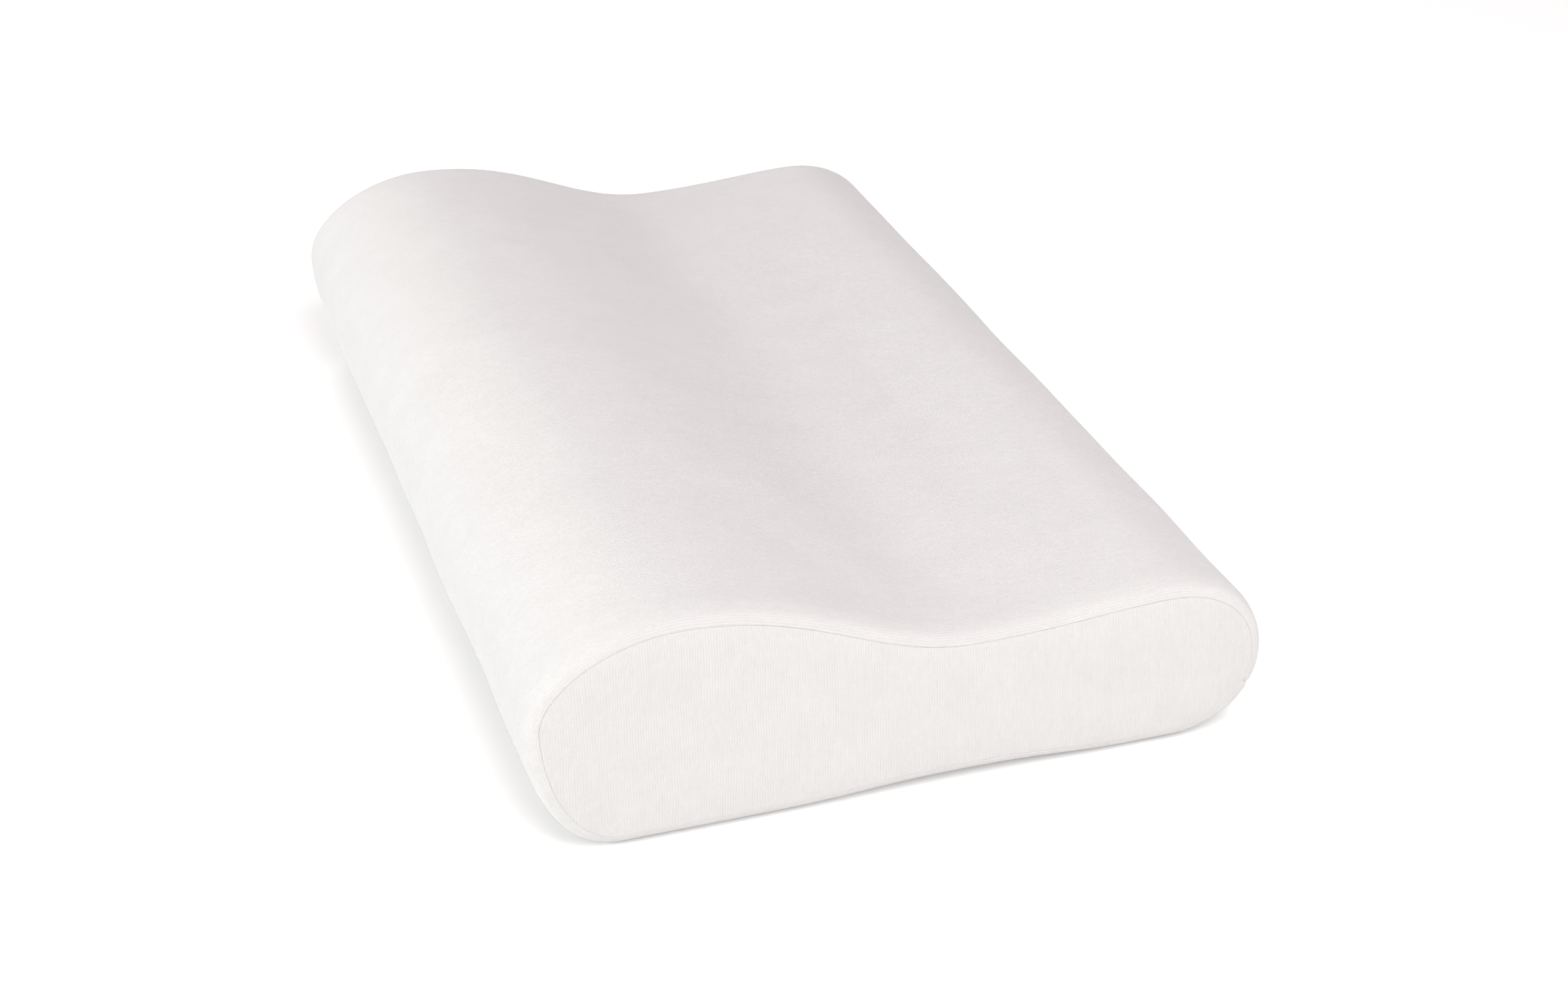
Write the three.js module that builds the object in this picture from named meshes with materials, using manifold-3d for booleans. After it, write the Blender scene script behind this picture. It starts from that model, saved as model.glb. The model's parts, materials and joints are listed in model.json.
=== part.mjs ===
// Contour bed pillow: a moulded foam core in a knitted liner, inside a removable zipped cover.
//
// Millimetres. X runs along the length, Y runs from the tall lobe (-Y) to the low lobe (+Y),
// and Z is up. The origin is the middle of the footprint, on the surface the pillow lies on.
// "Left" is the end at -X and "right" the end at +X.

import * as THREE from 'three';
import { mergeVertices } from 'three/addons/utils/BufferGeometryUtils.js';
import Module from 'manifold-3d';

const wasm = await Module();
wasm.setup();

// Outside of the pillow
const LENGTH = 500;
const EDGE_RADIUS = 12.4;

// Sides along each stretch of the outline, across a strip of it, and round a plate's corner
const CURVE_STEPS = 9;
const STRIP_STEPS = 5;
const CORNER_STEPS = 5;

// Depth of each layer below the outside of the pillow
const COVER = { outer: 0, inner: 1.8 };
const TAPE = { outer: 2.1, inner: 2.7 };
const LINER = { outer: 4.2, inner: 4.9 };
const FOAM_DEPTH = 5.2;
const GAP = 0.3;

// Angles round the rounded edge, from 0 on the wrap to 90 degrees on the end panel
const WRAP_EDGE = 57.4;
const SEAM = { from: 59, to: 62, outer: 0.4, inner: 1.4 };
const PANEL_EDGE = 63.6;
const FOAM_ANGLES = [0, 30, 60, 90];
const SLEEVE_ANGLES = [0, 28, WRAP_EDGE];
const LINER_END_ANGLES = [PANEL_EDGE, 90];
const WRAP_ANGLES = [0, 19, 38, WRAP_EDGE];
const PANEL_ANGLES = [PANEL_EDGE, 76, 90];

// Zip, measured along X and across the row of teeth
const ZIP = {
  along: 0.72,
  chainHalf: 215,
  rowInner: 0.55,
  rowOuter: 2.6,
  tapeHalf: 227,
  tapeWidth: 13,
  slotHalf: 221,
  slotHalfWidth: 4,
  stitchOffset: 6.2,
};

const STOP = { topLength: 2.2, bottomLength: 2.6, belowRow: 0.1 };
const BAR_TACK = { near: 0.8, far: 2.4, beyond: 1, height: 0.5 };
const TOPSTITCH = { halfWidth: 0.3, height: 0.4 };

// Heights above the outside of the cover, in the zip's own frame
const ROW = { bottom: -1.8, top: -0.4 };
const SLIDER = { length: 9, halfWidth: 3.5, corner: 1.5, underside: -0.1, top: 0.7 };
const SLIDER_FLANGE = { fromEnd: 1.2, wall: 0.6 };
const SLIDER_BACK = { halfWidth: 2.8, corner: 1.2, top: -3.15, bottom: -3.75 };
const SLIDER_WEB = { length: 4, halfWidth: 0.25 };
const BRIDGE = { halfLength: 3.2, halfWidth: 0.8, leg: 1, roof: 0.8, opening: 1.5 };
const ROOT = 0.2; // how far the slider's joined pieces run into each other
const PULL = { length: 24, width: 5.6, thickness: 0.9, window: 4.4, windowWidth: 3.4 };

// Care label at the left end seam, over the low lobe's crest
const LABEL = { y: 105, width: 28, drop: 34, near: 0.4, far: 1.0, angles: [64, 73, 81, 90] };

const LOOK = {
  foam: { color: '#efe7d6', roughness: 0.9 },
  linerKnit: { color: '#f4f2ee', roughness: 0.95 },
  coverKnit: { color: '#f3f0ee', roughness: 0.95 },
  seamThread: { color: '#e2dedb', roughness: 0.8 },
  topstitch: { color: '#f1efed', roughness: 0.7 },
  tape: { color: '#efeeec', roughness: 0.85 },
  nylon: { color: '#f2f1ef', roughness: 0.45 },
  metal: { color: '#d9d9da', roughness: 0.35, metalness: 0.8 },
  satin: { color: '#f6f6f4', roughness: 0.6 },
};

// Outline in the YZ plane, anticlockwise seen from +X. Every anchor's tangent is level, or
// upright where marked. "leave" and "arrive" are the lengths of its curve handles, as shares
// of the distance to the next and the last anchor. A "flat" anchor starts a straight line.
const ANCHORS = [
  { name: 'front foot', at: [-113, 0], arrive: 0.78, flat: true },
  { name: 'front foot inner end', at: [-60, 0], leave: 0.5 },
  { name: 'arch under the neck', at: [25, 3], arrive: 0.49, leave: 0.5 },
  { name: 'back foot inner end', at: [95, 0], arrive: 0.41, flat: true },
  { name: 'back foot', at: [112.3, 0], leave: 0.45 },
  { name: 'back nose', at: [150, 36.2], arrive: 0.61, leave: 0.57, upright: true },
  { name: 'low crest', at: [107.8, 72.4], arrive: 0.62, leave: 0.26 },
  { name: 'valley', at: [29.7, 68.3], arrive: 0.41, leave: 0.35 },
  { name: 'tall crest', at: [-88.7, 96.5], arrive: 0.47, leave: 0.51 },
  { name: 'front nose', at: [-150, 56.4], arrive: 0.5, leave: 0.34, upright: true },
];

const toRadians = THREE.MathUtils.degToRad;

function handle(anchor, other, share) {
  const [y, z] = anchor.at;
  const [otherY, otherZ] = other.at;
  if (anchor.upright) {
    return new THREE.Vector2(y, z + share * (otherZ - z));
  }
  return new THREE.Vector2(y + share * (otherY - y), z);
}

function anchorNamed(name) {
  return ANCHORS.find((anchor) => anchor.name === name);
}

function curveBetween(name, nextName) {
  const anchor = anchorNamed(name);
  const next = anchorNamed(nextName);
  return new THREE.CubicBezierCurve(
    new THREE.Vector2(...anchor.at),
    handle(anchor, next, anchor.leave),
    handle(next, anchor, next.arrive),
    new THREE.Vector2(...next.at),
  );
}

function pillowOutline() {
  const path = new THREE.CurvePath();
  ANCHORS.forEach((anchor, i) => {
    const next = ANCHORS[(i + 1) % ANCHORS.length];
    if (anchor.flat) {
      path.add(new THREE.LineCurve(new THREE.Vector2(...anchor.at), new THREE.Vector2(...next.at)));
    } else {
      path.add(curveBetween(anchor.name, next.name));
    }
  });
  return path.getPoints(CURVE_STEPS).slice(0, -1);
}

const OUTLINE = pillowOutline();

function inwardNormal(from, to) {
  const along = to.clone().sub(from).normalize();
  return new THREE.Vector2(-along.y, along.x);
}

// Moves every side of the outline inwards by the same distance, with mitred corners.
function insetOutline(inset) {
  return OUTLINE.map((point, i) => {
    const last = inwardNormal(OUTLINE.at(i - 1), point);
    const next = inwardNormal(point, OUTLINE[(i + 1) % OUTLINE.length]);
    const mitre = last.clone().add(next).divideScalar(1 + last.dot(next));
    return point.clone().addScaledVector(mitre, inset);
  });
}

// One closed ring of a layer, at an angle round the rounded edge of one end (side -1 or 1).
function ring(side, angle, depth) {
  const radius = EDGE_RADIUS - depth;
  const inset = EDGE_RADIUS - radius * Math.cos(toRadians(angle));
  const x = side * (LENGTH / 2 - EDGE_RADIUS + radius * Math.sin(toRadians(angle)));
  return insetOutline(inset).map((point) => new THREE.Vector3(x, point.x, point.y));
}

function ringsRound(side, angles, depth) {
  return angles.map((angle) => ring(side, angle, depth));
}

// Skin over a row of rings. A closed row meets its own start; an open one has flat ends.
function loft(rings, closed) {
  const count = rings[0].length;
  const indices = [];
  const rows = closed ? rings.length : rings.length - 1;
  for (let row = 0; row < rows; row += 1) {
    const here = row * count;
    const there = ((row + 1) % rings.length) * count;
    for (let i = 0; i < count; i += 1) {
      const next = (i + 1) % count;
      indices.push(here + i, here + next, there + next);
      indices.push(here + i, there + next, there + i);
    }
  }
  if (!closed) {
    addFlatEnds(indices, rings);
  }
  const geometry = new THREE.BufferGeometry().setFromPoints(rings.flat());
  geometry.setIndex(indices);
  geometry.computeVertexNormals();
  return geometry;
}

function addFlatEnds(indices, rings) {
  const lastStart = (rings.length - 1) * rings[0].length;
  for (const [a, b, c] of flatFaces(rings[0])) {
    indices.push(c, b, a);
  }
  for (const [a, b, c] of flatFaces(rings.at(-1))) {
    indices.push(lastStart + a, lastStart + b, lastStart + c);
  }
}

function flatFaces(points) {
  const contour = points.map((point) => new THREE.Vector2(point.y, point.z));
  return THREE.ShapeUtils.triangulateShape(contour, []);
}

function part(name, geometry, look) {
  const mesh = new THREE.Mesh(geometry, new THREE.MeshStandardMaterial(look));
  mesh.name = name;
  return mesh;
}

// Booleans

function solidFrom(geometry) {
  const bare = geometry.clone();
  bare.deleteAttribute('normal');
  bare.deleteAttribute('uv');
  const merged = mergeVertices(bare);
  const mesh = new wasm.Mesh({
    numProp: 3,
    vertProperties: new Float32Array(merged.attributes.position.array),
    triVerts: new Uint32Array(merged.index.array),
  });
  return new wasm.Manifold(mesh);
}

function geometryFrom(solid) {
  const mesh = solid.getMesh();
  const geometry = new THREE.BufferGeometry();
  geometry.setAttribute('position', new THREE.BufferAttribute(mesh.vertProperties, 3));
  geometry.setIndex(new THREE.BufferAttribute(mesh.triVerts, 1));
  geometry.computeVertexNormals();
  return geometry;
}

function joined(geometries) {
  const solids = geometries.map(solidFrom);
  return geometryFrom(solids.reduce((whole, next) => whole.add(next)));
}

// Box between two corners, given as [from, to] along each axis.
function block(x, y, z) {
  const geometry = new THREE.BoxGeometry(x[1] - x[0], y[1] - y[0], z[1] - z[0]);
  geometry.translate((x[0] + x[1]) / 2, (y[0] + y[1]) / 2, (z[0] + z[1]) / 2);
  return geometry;
}

function plate(shape, bottom, top) {
  const geometry = new THREE.ExtrudeGeometry(shape, {
    depth: top - bottom,
    bevelEnabled: false,
    curveSegments: CORNER_STEPS,
  });
  geometry.translate(0, 0, bottom);
  return geometry;
}

function roundedRectangle(x, y, radius) {
  const shape = new THREE.Shape();
  shape.moveTo(x[0] + radius, y[0]);
  shape.lineTo(x[1] - radius, y[0]);
  shape.absarc(x[1] - radius, y[0] + radius, radius, -Math.PI / 2, 0);
  shape.lineTo(x[1], y[1] - radius);
  shape.absarc(x[1] - radius, y[1] - radius, radius, 0, Math.PI / 2);
  shape.lineTo(x[0] + radius, y[1]);
  shape.absarc(x[0] + radius, y[1] - radius, radius, Math.PI / 2, Math.PI);
  shape.lineTo(x[0], y[0] + radius);
  shape.absarc(x[0] + radius, y[0] + radius, radius, Math.PI, 1.5 * Math.PI);
  return shape;
}

// Foam, liner and cover

function foamCore() {
  const left = ringsRound(-1, FOAM_ANGLES, FOAM_DEPTH).reverse();
  const right = ringsRound(1, FOAM_ANGLES, FOAM_DEPTH);
  return part('foam_core', loft([...left, ...right], false), LOOK.foam);
}

function sleeve(layer, angles) {
  const outerLeft = ringsRound(-1, angles, layer.outer).reverse();
  const outerRight = ringsRound(1, angles, layer.outer);
  const innerRight = ringsRound(1, angles, layer.inner).reverse();
  const innerLeft = ringsRound(-1, angles, layer.inner);
  return loft([...outerLeft, ...outerRight, ...innerRight, ...innerLeft], true);
}

function endPanel(side, layer, angles) {
  const inner = ringsRound(side, angles, layer.inner).reverse();
  const outer = ringsRound(side, angles, layer.outer);
  const rings = [...inner, ...outer];
  return loft(side > 0 ? rings : rings.reverse(), false);
}

function endSeam(side) {
  const outer = ringsRound(side, [SEAM.from, SEAM.to], SEAM.outer);
  const inner = ringsRound(side, [SEAM.to, SEAM.from], SEAM.inner);
  const rings = [...outer, ...inner];
  return loft(side > 0 ? rings : rings.reverse(), true);
}

function liner() {
  return [
    part('liner_sleeve', sleeve(LINER, SLEEVE_ANGLES), LOOK.linerKnit),
    part('liner_end_left', endPanel(-1, LINER, LINER_END_ANGLES), LOOK.linerKnit),
    part('liner_end_right', endPanel(1, LINER, LINER_END_ANGLES), LOOK.linerKnit),
  ];
}

// The zip's frame: x along the zip, y across it towards the floor, z outwards.

const zipStretch = curveBetween('back foot', 'back nose');
const zipMiddle = zipStretch.getPoint(ZIP.along);
const zipTangent = zipStretch.getTangent(ZIP.along);
const zipFrame = new THREE.Matrix4().makeBasis(
  new THREE.Vector3(1, 0, 0),
  new THREE.Vector3(0, -zipTangent.x, -zipTangent.y),
  new THREE.Vector3(0, zipTangent.y, -zipTangent.x),
);
zipFrame.setPosition(0, zipMiddle.x, zipMiddle.y);

function coverWrap() {
  const tube = solidFrom(sleeve(COVER, WRAP_ANGLES));
  const slot = block(
    [-ZIP.slotHalf, ZIP.slotHalf],
    [-ZIP.slotHalfWidth, ZIP.slotHalfWidth],
    [-2 * COVER.inner, 2 * COVER.inner],
  );
  slot.applyMatrix4(zipFrame);
  return geometryFrom(tube.subtract(solidFrom(slot)));
}

function cover() {
  return [
    part('cover_wrap', coverWrap(), LOOK.coverKnit),
    part('cover_end_left', endPanel(-1, COVER, PANEL_ANGLES), LOOK.coverKnit),
    part('cover_end_right', endPanel(1, COVER, PANEL_ANGLES), LOOK.coverKnit),
    part('end_seam_left', endSeam(-1), LOOK.seamThread),
    part('end_seam_right', endSeam(1), LOOK.seamThread),
  ];
}

// Strips that follow the outline beside the zip. Distances run along the outline from the
// middle of the zip, upwards for side 1 and downwards for side -1. Depth 0 is the outside.

function outlineStrip(side, from, to, layer, halfLength) {
  const total = zipStretch.getLength();
  const middle = arcShareAt(ZIP.along);
  const outer = [];
  const inner = [];
  for (let i = 0; i <= STRIP_STEPS; i += 1) {
    const distance = from + ((to - from) * i) / STRIP_STEPS;
    const share = middle + (side * distance) / total;
    const tangent = zipStretch.getTangentAt(share);
    const inward = new THREE.Vector2(-tangent.y, tangent.x);
    const point = zipStretch.getPointAt(share);
    outer.push(point.clone().addScaledVector(inward, layer.outer));
    inner.push(point.clone().addScaledVector(inward, layer.inner));
  }
  const strip = new THREE.ExtrudeGeometry(new THREE.Shape([...outer, ...inner.reverse()]), {
    depth: 2 * halfLength,
    bevelEnabled: false,
  });
  strip.translate(0, 0, -halfLength);
  const alongX = new THREE.Matrix4().makeBasis(
    new THREE.Vector3(0, 1, 0),
    new THREE.Vector3(0, 0, 1),
    new THREE.Vector3(1, 0, 0),
  );
  return strip.applyMatrix4(alongX);
}

// Share of the zip stretch's length that lies before a curve parameter.
function arcShareAt(parameter) {
  const divisions = 100;
  const lengths = zipStretch.getLengths(divisions);
  return lengths[Math.round(parameter * divisions)] / lengths[divisions];
}

function zipSides() {
  const pieces = [];
  for (const [name, side] of [['upper', 1], ['lower', -1]]) {
    const tape = outlineStrip(side, ZIP.rowInner, ZIP.tapeWidth, TAPE, ZIP.tapeHalf);
    pieces.push(part(`zip_tape_${name}`, tape, LOOK.tape));
    const thread = { outer: -GAP - TOPSTITCH.height, inner: -GAP };
    const from = ZIP.stitchOffset - TOPSTITCH.halfWidth;
    const to = ZIP.stitchOffset + TOPSTITCH.halfWidth;
    const stitch = outlineStrip(side, from, to, thread, ZIP.slotHalf);
    pieces.push(part(`zip_stitch_${name}`, stitch, LOOK.topstitch));
  }
  return pieces;
}

// Rows of teeth, stops and bar tacks, in the zip's frame

function rowSection(side) {
  const height = ROW.top - ROW.bottom;
  const half = (ZIP.rowOuter - ZIP.rowInner) / 2;
  const middle = side * (ZIP.rowInner + half);
  const section = new THREE.Shape();
  section.absellipse(0, 0, height / 2, half, 0, 2 * Math.PI);
  const row = new THREE.ExtrudeGeometry(section, {
    depth: 2 * ZIP.chainHalf,
    bevelEnabled: false,
    curveSegments: CORNER_STEPS,
  });
  row.rotateY(Math.PI / 2);
  row.translate(-ZIP.chainHalf, middle, (ROW.top + ROW.bottom) / 2);
  return row;
}

function ascending(...values) {
  return values.sort((a, b) => a - b);
}

function zipChain() {
  const group = new THREE.Group();
  const start = ZIP.chainHalf + GAP;
  const stopHeights = [ROW.bottom, ROW.top - STOP.belowRow];
  for (const [name, side] of [['upper', -1], ['lower', 1]]) {
    group.add(part(`zip_coil_${name}`, rowSection(side), LOOK.nylon));
    const x = [-start - STOP.topLength, -start];
    const y = ascending(side * ZIP.rowInner, side * ZIP.rowOuter);
    group.add(part(`zip_top_stop_${name}`, block(x, y, stopHeights), LOOK.nylon));
  }
  const bottomX = [start, start + STOP.bottomLength];
  const bottomStop = block(bottomX, [-ZIP.rowOuter, ZIP.rowOuter], stopHeights);
  group.add(part('zip_bottom_stop', bottomStop, LOOK.nylon));
  const reach = ZIP.slotHalfWidth + BAR_TACK.beyond;
  for (const [name, side] of [['left', -1], ['right', 1]]) {
    const x = ascending(side * (ZIP.slotHalf + BAR_TACK.near), side * (ZIP.slotHalf + BAR_TACK.far));
    const tack = block(x, [-reach, reach], [GAP, GAP + BAR_TACK.height]);
    group.add(part(`zip_bar_tack_${name}`, tack, LOOK.topstitch));
  }
  return group;
}

// Slider: a channel over the rows and a plate behind the tapes, held together by a web that
// runs between the rows. A bridge on top holds the pull's crossbar.

function bridgeShape() {
  const { halfLength, leg, roof, opening } = BRIDGE;
  const bridge = new THREE.Shape();
  bridge.moveTo(-halfLength, -ROOT);
  bridge.lineTo(-halfLength + leg, -ROOT);
  bridge.lineTo(-halfLength + leg, opening);
  bridge.lineTo(halfLength - leg, opening);
  bridge.lineTo(halfLength - leg, -ROOT);
  bridge.lineTo(halfLength, -ROOT);
  bridge.lineTo(halfLength, opening);
  bridge.lineTo(halfLength - roof, opening + roof);
  bridge.lineTo(roof - halfLength, opening + roof);
  bridge.lineTo(-halfLength, opening);
  bridge.closePath();
  return bridge;
}

function sliderBridge() {
  const bridge = new THREE.ExtrudeGeometry(bridgeShape(), {
    depth: 2 * BRIDGE.halfWidth,
    bevelEnabled: false,
  });
  bridge.translate(0, 0, -BRIDGE.halfWidth);
  bridge.rotateX(Math.PI / 2);
  bridge.translate(0, 0, SLIDER.top);
  return bridge;
}

function zipSlider() {
  const half = SLIDER.length / 2;
  const wide = SLIDER.halfWidth;
  const back = SLIDER_BACK.halfWidth;
  const flangeHalf = half - SLIDER_FLANGE.fromEnd;
  const flange = (side) => block(
    [-flangeHalf, flangeHalf],
    ascending(side * wide, side * (wide - SLIDER_FLANGE.wall)),
    [ROW.bottom, SLIDER.top - ROOT],
  );
  const front = roundedRectangle([-half, half], [-wide, wide], SLIDER.corner);
  const rear = roundedRectangle([-half, half], [-back, back], SLIDER_BACK.corner);
  const geometry = joined([
    plate(front, SLIDER.underside, SLIDER.top),
    flange(-1),
    flange(1),
    block(
      [-half, -half + SLIDER_WEB.length],
      [-SLIDER_WEB.halfWidth, SLIDER_WEB.halfWidth],
      [SLIDER_BACK.bottom + ROOT, SLIDER.top - ROOT],
    ),
    plate(rear, SLIDER_BACK.bottom, SLIDER_BACK.top),
    sliderBridge(),
  ]);
  return part('zip_slider', geometry, LOOK.metal);
}

// Pull, lying towards +X over the closed chain, with the crossbar's axis at its own origin.
function zipPull() {
  const bar = PULL.thickness / 2;
  const outline = roundedRectangle(
    [-bar, PULL.length],
    [-PULL.width / 2, PULL.width / 2],
    bar,
  );
  const window = new THREE.Path();
  const halfWindow = PULL.windowWidth / 2;
  window.moveTo(bar, -halfWindow);
  window.lineTo(bar, halfWindow);
  window.lineTo(bar + PULL.window, halfWindow);
  window.lineTo(bar + PULL.window, -halfWindow);
  window.closePath();
  outline.holes.push(window);
  return part('zip_pull', plate(outline, -bar, bar), LOOK.metal);
}

function zipSliderWithPull() {
  const group = new THREE.Group();
  group.position.x = -ZIP.chainHalf + SLIDER.length / 2 + GAP;
  const pull = zipPull();
  pull.position.z = SLIDER.top + BRIDGE.opening / 2;
  group.add(zipSlider(), pull);
  return group;
}

// Care label: a folded ribbon that leaves the left end seam and hangs over the end panel.
function careLabel() {
  const section = [];
  const crest = anchorNamed('low crest').at[1] - EDGE_RADIUS;
  const middle = -LENGTH / 2 + EDGE_RADIUS;
  const over = (angle, gap) => new THREE.Vector2(
    middle - (EDGE_RADIUS + gap) * Math.sin(toRadians(angle)),
    crest + (EDGE_RADIUS + gap) * Math.cos(toRadians(angle)),
  );
  section.push(...LABEL.angles.map((angle) => over(angle, LABEL.far)));
  section.push(new THREE.Vector2(-LENGTH / 2 - LABEL.far, crest - LABEL.drop));
  section.push(new THREE.Vector2(-LENGTH / 2 - LABEL.near, crest - LABEL.drop));
  section.push(...LABEL.angles.map((angle) => over(angle, LABEL.near)).reverse());
  const geometry = new THREE.ExtrudeGeometry(new THREE.Shape(section), {
    depth: LABEL.width,
    bevelEnabled: false,
  });
  geometry.rotateX(Math.PI / 2);
  geometry.translate(0, LABEL.y + LABEL.width / 2, 0);
  return part('care_label', geometry, LOOK.satin);
}

const pillow = new THREE.Group();
pillow.add(foamCore(), ...liner(), ...cover(), ...zipSides(), careLabel());

const zip = new THREE.Group();
zip.applyMatrix4(zipFrame);
zip.add(zipChain(), zipSliderWithPull());
pillow.add(zip);

export default pillow;
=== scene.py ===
"""Contour bed pillow: the looks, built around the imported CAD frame.

Metres, +Z up. X runs along the pillow, Y from the tall lobe to the low lobe. Every soft
layer is a sheet over one surface, which place() gives from three numbers: "around", the
distance round the outline; "across", the distance from the middle of the pillow over the
wrap, round the rounded edge and on into the end panel; and "depth", below the outside.
"""

import json
import math

import bmesh
import bpy
import numpy as np
from mathutils import Matrix, Vector
from mathutils.kdtree import KDTree


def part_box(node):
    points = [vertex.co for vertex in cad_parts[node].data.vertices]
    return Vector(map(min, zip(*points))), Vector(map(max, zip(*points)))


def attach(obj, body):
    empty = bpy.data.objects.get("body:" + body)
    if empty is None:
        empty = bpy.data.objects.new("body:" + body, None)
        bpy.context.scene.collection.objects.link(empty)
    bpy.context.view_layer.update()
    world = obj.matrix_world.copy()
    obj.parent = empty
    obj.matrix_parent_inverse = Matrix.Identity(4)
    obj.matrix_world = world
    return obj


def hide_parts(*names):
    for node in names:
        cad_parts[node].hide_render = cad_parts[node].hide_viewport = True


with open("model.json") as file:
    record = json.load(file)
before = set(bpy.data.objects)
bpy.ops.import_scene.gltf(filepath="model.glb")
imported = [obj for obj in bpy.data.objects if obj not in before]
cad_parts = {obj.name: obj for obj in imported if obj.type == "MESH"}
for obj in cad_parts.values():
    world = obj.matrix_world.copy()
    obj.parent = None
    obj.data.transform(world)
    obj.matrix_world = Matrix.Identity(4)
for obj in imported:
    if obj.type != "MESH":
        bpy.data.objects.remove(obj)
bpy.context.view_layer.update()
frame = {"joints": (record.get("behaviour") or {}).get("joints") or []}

MM = 0.001
TURN = 2 * math.pi
CLOTH_MAP = "cloth"

# The outside of the pillow: the outline's anchors and handles are the CAD outline's.
HALF_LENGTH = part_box("cover_end_right")[1][0]
EDGE_RADIUS = 12.4 * MM
HALF_WRAP = HALF_LENGTH - EDGE_RADIUS
EDGE_ARC = EDGE_RADIUS * math.pi / 2
FACE_STEP = 0.05  # what "across" gains from the rim of an end panel to its middle
FACE_MIDDLE = (-12 * MM, 37 * MM)
ANCHORS = [
    # place (Y, Z) in mm, upright tangent, share of the handle before it, and after it
    ((-113, 0), False, 0.78, None),
    ((-60, 0), False, None, 0.5),
    ((25, 3), False, 0.49, 0.5),
    ((95, 0), False, 0.41, None),
    ((112.3, 0), False, None, 0.45),
    ((150, 36.2), True, 0.61, 0.57),
    ((107.8, 72.4), False, 0.62, 0.26),
    ((29.7, 68.3), False, 0.41, 0.35),
    ((-88.7, 96.5), False, 0.47, 0.51),
    ((-150, 56.4), True, 0.5, 0.34),
]
LOW_LOBE_TOP = ANCHORS[6][0][1] * MM
OUTLINE_STEPS = 2400

# Depths of the layers below the outside
COVER_THICKNESS = 1.8 * MM
LINER_DEPTHS = (4.2 * MM, 4.9 * MM)
FOAM_DEPTH = 5.2 * MM
INNER_FOLLOW = 0.7  # how much of the cover's swell the foam and the liner take

# End seams: where the wrap and the end panel meet on the rounded edge
SEAM_ANGLE = math.radians(60.4)
SEAM_ACROSS = HALF_WRAP + EDGE_RADIUS * SEAM_ANGLE
SEAM_INSET = EDGE_RADIUS * (1 - math.cos(SEAM_ANGLE))
SEAM_X = HALF_WRAP + EDGE_RADIUS * math.sin(SEAM_ANGLE)
SEAM_SINK, SEAM_LIP = 0.32 * MM, 0.7 * MM
SEAM_CLEAR = 0.02 * MM
SEAM_ROWS = np.array([0, 0.12, 0.35, 0.7, 1.15, 1.6, 2.1, 2.8, 3.8, 5, 6.5, 8.2, 10, 12, 14.5]) * MM
LINER_SEAM = HALF_WRAP + EDGE_RADIUS * math.radians(60)
PANEL_RISE, PANEL_RISE_RUN = 1.9 * MM, 9 * MM

# Zip
FLIP = next(j for j in frame["joints"] if j["name"] == "pull_flip")
ZIP_UP = Vector(FLIP["axis"]).normalized()
ZIP_OUT = ZIP_UP.cross(Vector((1, 0, 0)))
HINGE_HEIGHT = 1.45 * MM
SLOT_HALF, SLOT_EDGE = 221 * MM, 4 * MM
STITCH_OFFSET = 6.2 * MM
ROW_INNER = 0.55 * MM
TAPE_DEPTHS = (2.16 * MM, 2.68 * MM)
SIDES = (("upper", 1), ("lower", -1))
ENDS = (("left", -1), ("right", 1))


# ---- outline and surface


def in_scene(item):
    bpy.context.scene.collection.objects.link(item)
    return item


def grid(around, across):
    return np.meshgrid(around, across, indexing="ij")


def unit(vectors):
    return vectors / np.maximum(np.linalg.norm(vectors, axis=-1, keepdims=True), 1e-9)


def distances(points):
    """Distance along a line of points, from its first point to each."""
    return np.concatenate([[0], np.cumsum(np.linalg.norm(np.diff(points, axis=0), axis=1))])


def hump(distance, width):
    return np.exp(-((distance / width) ** 2))


def handle(anchor, other, share):
    """The end of a curve's handle, which runs from its anchor by a share of the way."""
    (y, z), upright = anchor[0], anchor[1]
    to_y, to_z = other[0]
    if upright:
        return np.array([y, z + share * (to_z - z)], float)
    return np.array([y + share * (to_y - y), z], float)


def outline_points(steps=240):
    """Points of the closed outline, anticlockwise seen from +X, in metres."""
    points = []
    t = np.linspace(0, 1, steps, endpoint=False)[:, None]
    for i, anchor in enumerate(ANCHORS):
        after = ANCHORS[(i + 1) % len(ANCHORS)]
        start, end = np.array(anchor[0], float), np.array(after[0], float)
        if anchor[3] is None:
            points.append(start + (end - start) * t)
            continue
        leave, arrive = handle(anchor, after, anchor[3]), handle(after, anchor, after[2])
        points.append(
            start * (1 - t) ** 3
            + 3 * leave * t * (1 - t) ** 2
            + 3 * arrive * t**2 * (1 - t)
            + end * t**3
        )
    return np.vstack(points) * MM


def measured_outline():
    """The outline at even steps: points, inward normals, and its whole length."""
    points = outline_points()
    closed = np.vstack([points, points[:1]])
    run = distances(closed)
    total = run[-1]
    even = np.arange(OUTLINE_STEPS) * total / OUTLINE_STEPS
    points = np.stack([np.interp(even, run, closed[:, k]) for k in (0, 1)], axis=1)
    along = unit(np.roll(points, -3, axis=0) - np.roll(points, 3, axis=0))
    return points, np.stack([-along[:, 1], along[:, 0]], axis=1), total


OUTLINE, INWARD, AROUND = measured_outline()
OUTLINE_TREE = KDTree(len(OUTLINE))
for number, (y, z) in enumerate(OUTLINE.tolist()):
    OUTLINE_TREE.insert((0, y, z), number)
OUTLINE_TREE.balance()


def outline_at(around):
    """Points and inward normals at distances round the outline."""
    index = (np.asarray(around) / AROUND * len(OUTLINE)) % len(OUTLINE)
    low = np.floor(index).astype(int) % len(OUTLINE)
    high = (low + 1) % len(OUTLINE)
    part = (index - np.floor(index))[..., None]
    point = OUTLINE[low] * (1 - part) + OUTLINE[high] * part
    normal = INWARD[low] * (1 - part) + INWARD[high] * part
    return point, unit(normal)


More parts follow.
